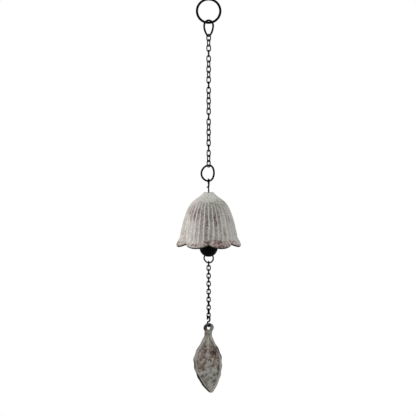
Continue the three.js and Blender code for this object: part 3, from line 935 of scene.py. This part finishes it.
paint = look.coated(
    paint,
    (grooves * (mottled * 0.35 + 0.55) * softer, thin),
    (crest_paint_and_highlight * 0.5 * softer, (224, 220, 211)),
    (grooves * bare * streaks.most(0.25) * 0.85, plum),
    (grit.steps_up(0.56, 0.68) * speck_zone, (88, 76, 71)),
    (grit.steps_up(0.42, 0.3) * 0.5, (230, 226, 218)),
    (flecks * 0.4, (164, 156, 148)),
)

# %% Petals and inside
dabbed = look.cloud(430, 3).steps_up(0.43, 0.56)
petal_light = look.blend(middle_grime_and_shade, (212, 202, 196), (188, 173, 167))
rust_side = look.x.steps_up(-14 * mm, 6 * mm) * look.x.steps_up(34 * mm, 20 * mm)
petal_rust = look.cloud(300, 3).steps_up(0.48, 0.62) * (rust_side * 0.65 + 0.35)
petal_paint = look.blend(dabbed, (112, 90, 85), petal_light)
petal_paint = look.blend(petal_rust, petal_paint, (94, 66, 62))
front_right = look.x.steps_up(-22 * mm, -2 * mm) * look.x.steps_up(38 * mm, 20 * mm)
low_band = look.z.steps_up(-0.291, -0.301) * front_right
band = low_band.most(look.mark("petal_band") * (front_right * 0.35 + 0.65))
ragged_band = (band + (look.cloud(150, 3) - 0.5) * 1.6).steps_up(0.3, 0.8)
# Bare dark iron inside the bell; where the inside mark runs under the lip this dark is painted shade as
# well.
bare_iron_and_lip_shade = look.blend(look.cloud(200, 3), (20, 17, 15), (38, 30, 25))
paint = look.coated(paint, (ragged_band * 0.9, petal_paint), (look.mark("inside"), bare_iron_and_lip_shade))
chalk = look.cloud(1300, 4) + look.cloud(420, 2)
bell_finish = look.done(paint, 0.88, 0.2, chalk, 0.35)

# %% Bell
rib_count = 35
petal_count = 7
columns_per_rib = 12
bell = grow(
    "petal_bell", bell_tree, bell_finish,
    {
        "Rows": len(bell_rows),
        "Columns": rib_count * columns_per_rib,
        "Petals": petal_count,
        "Ribs": rib_count,
        "Rib Height": 1.0 * mm,
        "Level": bell_top * mm,
        "Waver": 0.014,
        "Pitting": 0.5 * mm,
    },
    seed_mesh=profile,
)
finish_piece(bell, "bell", "bell")
print("bell faces:", len(bell.data.polygons))

# %% [markdown]
# ## Leaf
# The leaf is a flat casting with an eye at its top. Blank and eye are modelled apart and
# melted together by a voxel remesh, which leaves the soft edges and the filled corners of
# a sand casting. Then a tree raises the midrib, a vein to each tooth, the net of small
# veins and the rim, all from formulas of the place on the leaf.

# %% Leaf outline
leaf_thickness = 3.0
neck_width = 10.4
neck_depth = 9.5
leaf_width = 40.6
widest_depth = 42.0
leaf_length = 82.4
sway = 1.6
sway_depth = 60.0
tip_lean = 3.4
blunt = 0.93
leaf_teeth = 7


def leaf_half_width(depth):
    neck = neck_width / 2
    widest = leaf_width / 2
    if depth <= widest_depth:
        t = max(0, min(1, (depth - neck_depth) / (widest_depth - neck_depth)))
        return neck + (widest - neck) * math.sin(math.pi / 2 * t) ** 1.35
    t = min(1, (depth - widest_depth) / (leaf_length - widest_depth))
    return widest * (1 - blunt * t**2) ** 0.86


def leaf_centre(depth):
    t = max(0, depth - widest_depth) / (leaf_length - widest_depth)
    return tip_lean * t**2.2 - sway * math.sin(math.pi * min(1, depth / sway_depth))


# %% Helper for lofts
def squarer(angle, power):
    """A sine that holds its full height for longer, for a section with flat faces."""
    return math.copysign(abs(math.sin(angle)) ** power, math.sin(angle))


def loft(name, rings, sides, place, closed=False):
    """A closed skin over rings of points. place(ring, turn) gives a point in millimetres."""
    turns = [2 * math.pi * k / sides for k in range(sides)]
    points = [Vector(place(i, turn)) * mm for i in range(rings) for turn in turns]
    faces = []
    for i in range(rings if closed else rings - 1):
        here = i * sides
        onward = (i + 1) % rings * sides
        for k in range(sides):
            after = (k + 1) % sides
            faces.append((here + k, here + after, onward + after, onward + k))
    if not closed:
        faces += [tuple(reversed(range(sides))), tuple(range(onward, onward + sides))]
    mesh = bpy.data.meshes.new(name)
    mesh.from_pydata(points, [], faces)
    outward(mesh)
    return new_object(name, mesh)


# %% Leaf blank and eye
blade_steps = 90
blade_head = 4.5
tooth_height = 0.5
eye_steps = 48
eye_half_width = 7.4
eye_half_height = 6
eye_half_thickness = 1.3
hole_half_width = 2.2
hole_foot = 2.3


def blade_place(i, turn):
    depth = blade_head + (leaf_length - blade_head) * i / blade_steps
    tooth = tooth_height * math.sin(2 * math.pi * leaf_teeth * depth / leaf_length)
    half = max(1, leaf_half_width(depth) + tooth * math.sin(math.pi * min(1, depth / leaf_length)))
    x = leaf_centre(depth) + half * math.cos(turn)
    return x, leaf_thickness / 2 * squarer(turn, 0.3), leaf_level - depth


def eye_place(i, turn):
    angle = 2 * math.pi * i / eye_steps
    hole_half_height = eye_hole_height / 2 if angle < math.pi else hole_foot
    share = 0.5 + 0.5 * math.cos(turn)
    x = (hole_half_width + (eye_half_width - hole_half_width) * share) * math.cos(angle)
    z = (hole_half_height + (eye_half_height - hole_half_height) * share) * math.sin(angle)
    return x, eye_half_thickness * squarer(turn, 0.7), leaf_level + z


leaf_blank = loft("leaf_blank", blade_steps + 1, 24, blade_place)
leaf_eye = loft("leaf_eye", eye_steps, 10, eye_place, closed=True)

# %% Melt blank and eye together
join = leaf_blank.modifiers.new("join", "BOOLEAN")
join.operation = "UNION"
join.solver = "EXACT"
join.object = leaf_eye
melt = leaf_blank.modifiers.new("melt", "REMESH")
melt.mode = "VOXEL"
melt.voxel_size = 0.34 * mm
soften = leaf_blank.modifiers.new("soften", "SMOOTH")
soften.iterations = 2
melted = worked_out(leaf_blank)
for part in (leaf_blank, leaf_eye):
    bpy.data.objects.remove(part)
print("leaf blank faces:", len(melted.polygons))

# %% Tree for the leaf's relief
leaf_sizes = ["Vein Height", "Net Height", "Level", "Turn"]
leaf_tree, leaf_in, leaf_size = new_shape_tree("leaf_relief", leaf_sizes)
leaf_point = geometry(leaf_tree, "InputPosition")
leaf_x, _, leaf_z = parts_of(leaf_tree, leaf_point)
leaf_depth = leaf_size["Level"] - leaf_z
low_share = ((leaf_depth / mm - widest_depth) / (leaf_length - widest_depth)).most(0).least(1)
neck_share = ((leaf_depth / mm - neck_depth) / (widest_depth - neck_depth)).most(0).least(1)
sway_angle = (leaf_depth / (sway_depth * mm)).least(1) * math.pi
centre_line = low_share**2.2 * tip_lean - sway_angle.math("SINE") * sway
upper_half_width = (neck_share * (math.pi / 2)).math("SINE") ** 1.35
upper_half_width = upper_half_width * (leaf_width / 2 - neck_width / 2) + neck_width / 2
lower_half_width = (1 - low_share * low_share * blunt) ** 0.86 * (leaf_width / 2)
half_width = upper_half_width.least(lower_half_width).most(1)
from_centre = (leaf_x / mm - centre_line).math("ABSOLUTE")
edge_distance = half_width - from_centre

# %% Veins, rim and pits
midrib = from_centre.steps_up(1.7, 0.3) * leaf_depth.steps_up(60 * mm, 20 * mm).most(0.35)
vein_bend = leaf_depth / mm - from_centre * 0.9 + from_centre * from_centre * 0.012
side_wave = (vein_bend * (leaf_teeth / leaf_length) * (2 * math.pi)).math("COSINE")
side_vein = side_wave.most(0) ** 3
hollow = (0 - side_wave).most(0) * from_centre.steps_up(1, 4)
vein_waver = cloud(leaf_tree, leaf_point, 160, 2).steps_up(0.2, 0.6)
veins = midrib.most(side_vein * vein_waver.most(0.35) * 0.85)
net = add_node(leaf_tree, "ShaderNodeTexVoronoi", {"Vector": leaf_point, "Scale": 170})
net.feature = "DISTANCE_TO_EDGE"
net_vein = Number(net.outputs["Distance"]).steps_up(0.2, 0.05)
net_vein = net_vein * cloud(leaf_tree, leaf_point, 140, 2).steps_up(0.3, 0.6)
rim = edge_distance.steps_up(4.2, 3.2)
rim_furrow = edge_distance.steps_up(3.2, 4.4) * edge_distance.steps_up(6.4, 5)
pits = cloud(leaf_tree, leaf_point, 520, 2).steps_up(0.5, 0.7)
on_blade = leaf_depth.steps_up(7 * mm, 13 * mm)
_, facing_y, _ = parts_of(leaf_tree, geometry(leaf_tree, "InputNormal"))
flat_face = facing_y.math("ABSOLUTE").steps_up(0.55, 0.9)
relief = (
    veins * leaf_size["Vein Height"]
    + net_vein.most(rim * 0.9) * leaf_size["Net Height"]
    - pits * leaf_size["Net Height"] * 0.5
    - rim_furrow * leaf_size["Net Height"] * 0.4
)
press = (relief - leaf_size["Vein Height"] * 1.4) * on_blade * flat_face
margin = edge_distance.steps_up(3.1, 2.1)
blade_marks = {
    "vein": veins, "net": net_vein, "rim": rim, "furrow": rim_furrow, "hollow": hollow, "edge": margin,
}
leaf_marks = {name: number * on_blade for name, number in blade_marks.items()}
leaf_marks |= {"flat_face": flat_face, "pit": pits}
leaf_marked = with_marks(leaf_tree, leaf_in.outputs["Geometry"], leaf_marks)
leaf_push = along_normal(leaf_tree, press)
leaf_shape = geometry(leaf_tree, "SetPosition", {"Geometry": leaf_marked, "Offset": leaf_push})
leaf_rotation = vector_of(leaf_tree, 0, 0, leaf_size["Turn"])
leaf_turned = geometry(leaf_tree, "Transform", {"Geometry": leaf_shape, "Rotation": leaf_rotation})
end_shape_tree(leaf_tree, leaf_in, leaf_turned)

# %% [markdown]
# ## Leaf finish
# The same paint, thinner: light grey on the veins and the rim, grey beige between them,
# and rust in grains, strongest at the upper right. The narrow side of the plate was never
# painted and is nearly black, and its lower left is painted darker still as shade, which
# draws a dark line down there. The hook has rubbed the eye bare.

# %% Thin paint
look = Finish("thin_paint_over_rust")
patches = look.cloud(130, 3).steps_up(0.38, 0.62)
upper_field = look.blend(patches, (110, 91, 80), (158, 147, 137))
lower_field = look.blend(patches, (108, 108, 101), (162, 164, 155))
neck_zone = look.stain((4, 0, -414), (9, 20, 14))
light_zone = look.stain((-13, 0, -438), (8, 20, 8)).most(neck_zone)
brownish = look.cloud(200, 3).steps_up(0.48, 0.66) * look.z.steps_up(-0.475, -0.45)
olive = look.stain((-14, 0, -459), (6, 20, 7))
mottled = look.cloud(470, 3).steps_up(0.5, 0.6)
field = look.coated(
    look.blend(look.z.steps_up(-0.452, -0.464), upper_field, lower_field),
    (light_zone * 0.6, (160, 158, 152)),
    (brownish * 0.7, (104, 84, 72)),
    (neck_zone * 0.6, (146, 150, 140)),
    (olive * 0.7, (96, 86, 54)),
    (mottled * 0.6, (78, 70, 62)),
    (look.mark("hollow") * 0.4, (92, 84, 76)),
)

# %% Rust, and light paint on what stands out
rust_places = [
    (6.7, -441, 7), (-5, -437, 5), (10.6, -435, 4), (-4.5, -448, 4), (-14, -453, 5),
    (-7, -461, 4), (13, -463, 4), (1.5, -450, 3), (1.5, -457, 3), (-7, -470, 3),
]
rust_spots = [look.stain((x, 0, z), (size, 20, size)) for x, z, size in rust_places]
rust_zone = reduce(Number.most, rust_spots)
right_sprinkle = look.stain((7, 0, -440), (13, 20, 15))
left_sprinkle = look.stain((-8, 0, -444), (10, 20, 14))
sprinkled = right_sprinkle.most(left_sprinkle * 0.7)
grains = look.cloud(460, 2)
rust_share = rust_zone * grains.steps_up(0.43, 0.52)
rust_share = rust_share.most(sprinkled * grains.steps_up(0.51, 0.57) * 0.9)
rust = look.blend(look.cloud(330, 3), (40, 18, 13), (98, 58, 44))
dark_pits = look.mark("pit") * look.cloud(190, 2).steps_up(0.4, 0.6)
light = look.blend(look.cloud(240, 2), (156, 153, 146), (198, 195, 187))
raised = (look.mark("vein") * 0.85).most(look.mark("net") * 0.7).most(look.mark("rim") * 0.75)
darkest = look.stain((6.7, 0, -441), (4.5, 20, 4))
furrow_side = look.x.steps_up(-2 * mm, 6 * mm) * look.z.steps_up(-0.478, -0.468) * 0.4 + 0.15
field = look.coated(
    field,
    (rust_share * 0.9, rust),
    (dark_pits * 0.6, (66, 56, 50)),
    (raised * (1 - rust_share * 0.8), light),
    (darkest * 0.85, (44, 22, 20)),
    (look.mark("furrow") * furrow_side, (66, 58, 52)),
)

# %% Unpainted sides with painted shade, and rubbed places
# Down the lower left, side and margin are painted darker still: painted shade over the bare iron.
lower_left_shade_and_wear = look.z.steps_up(-0.462, -0.47) * look.x.steps_up(5 * mm, 0)
side_wall = (1 - look.mark("flat_face")) * (lower_left_shade_and_wear * 0.55 + 0.45)
worn_right = look.stain((15, 8, -439), (7, 30, 11))
worn_left = look.stain((-18, -9, -455), (6, 30, 9))
worn_and_shaded_margin = lower_left_shade_and_wear.most(worn_right.most(worn_left * 0.8) * 0.8) * look.mark("edge")
rubbed_eye = look.stain((-0.5, 0, leaf_level + 1), (4, 20, 4.4), 0.1)
rubbed_left = look.stain((-5.5, -3, leaf_level + 1), (5.4, 20, 7), 0.1)
unpainted_and_shaded = side_wall.most(worn_and_shaded_margin).most(rubbed_eye).most(rubbed_left)
side_iron_and_shade = look.blend(look.cloud(300, 2), (16, 15, 14), (44, 39, 34))
field = look.blend(unpainted_and_shaded, field, side_iron_and_shade)
leaf_finish = look.done(field, 0.82, 0.25, look.cloud(1100, 4), 0.25)

# %% Leaf
leaf = grow(
    "cast_leaf", leaf_tree, leaf_finish,
    {
        "Vein Height": 0.45 * mm,
        "Net Height": 0.35 * mm,
        "Level": leaf_level * mm,
        "Turn": math.radians(hook_turn + 90),
    },
    seed_mesh=melted,
)
finish_piece(leaf, "leaf", "leaf")
print("leaf faces:", len(leaf.data.polygons))

# %% [markdown]
# ## Floor
# The chime hangs half a metre above a plain pale floor, out of the photo's view. The disc
# is matt and fades to the backdrop's white at its edge, so that it has no visible rim.

# %% Floor
floor_radius = 1.2
floor_level = -1.0
floor_sides = 96
floor_rim = [
    (floor_radius * math.cos(angle), floor_radius * math.sin(angle), floor_level)
    for angle in (2 * math.pi * i / floor_sides for i in range(floor_sides))
]
floor_mesh = bpy.data.meshes.new("floor")
floor_mesh.from_pydata(floor_rim, [], [tuple(range(floor_sides))])
floor = new_object("floor", floor_mesh)
look = Finish("pale_floor")
floor_mesh.materials.append(look.done((0.8, 0.8, 0.79, 1), 0.9, 0.1))
fade = vector_math(look.tree, "LENGTH", look.place).steps_up(1.1, 1.5)
glow = add_node(look.tree, "ShaderNodeEmission", {"Color": (1, 1, 1, 1), "Strength": 1})
floor_mix = add_node(
    look.tree, "ShaderNodeMixShader", {0: fade, 1: look.shader.outputs[0], 2: glow.outputs[0]}
)
plug(look.tree.nodes["Material Output"].inputs["Surface"], floor_mix.outputs[0])
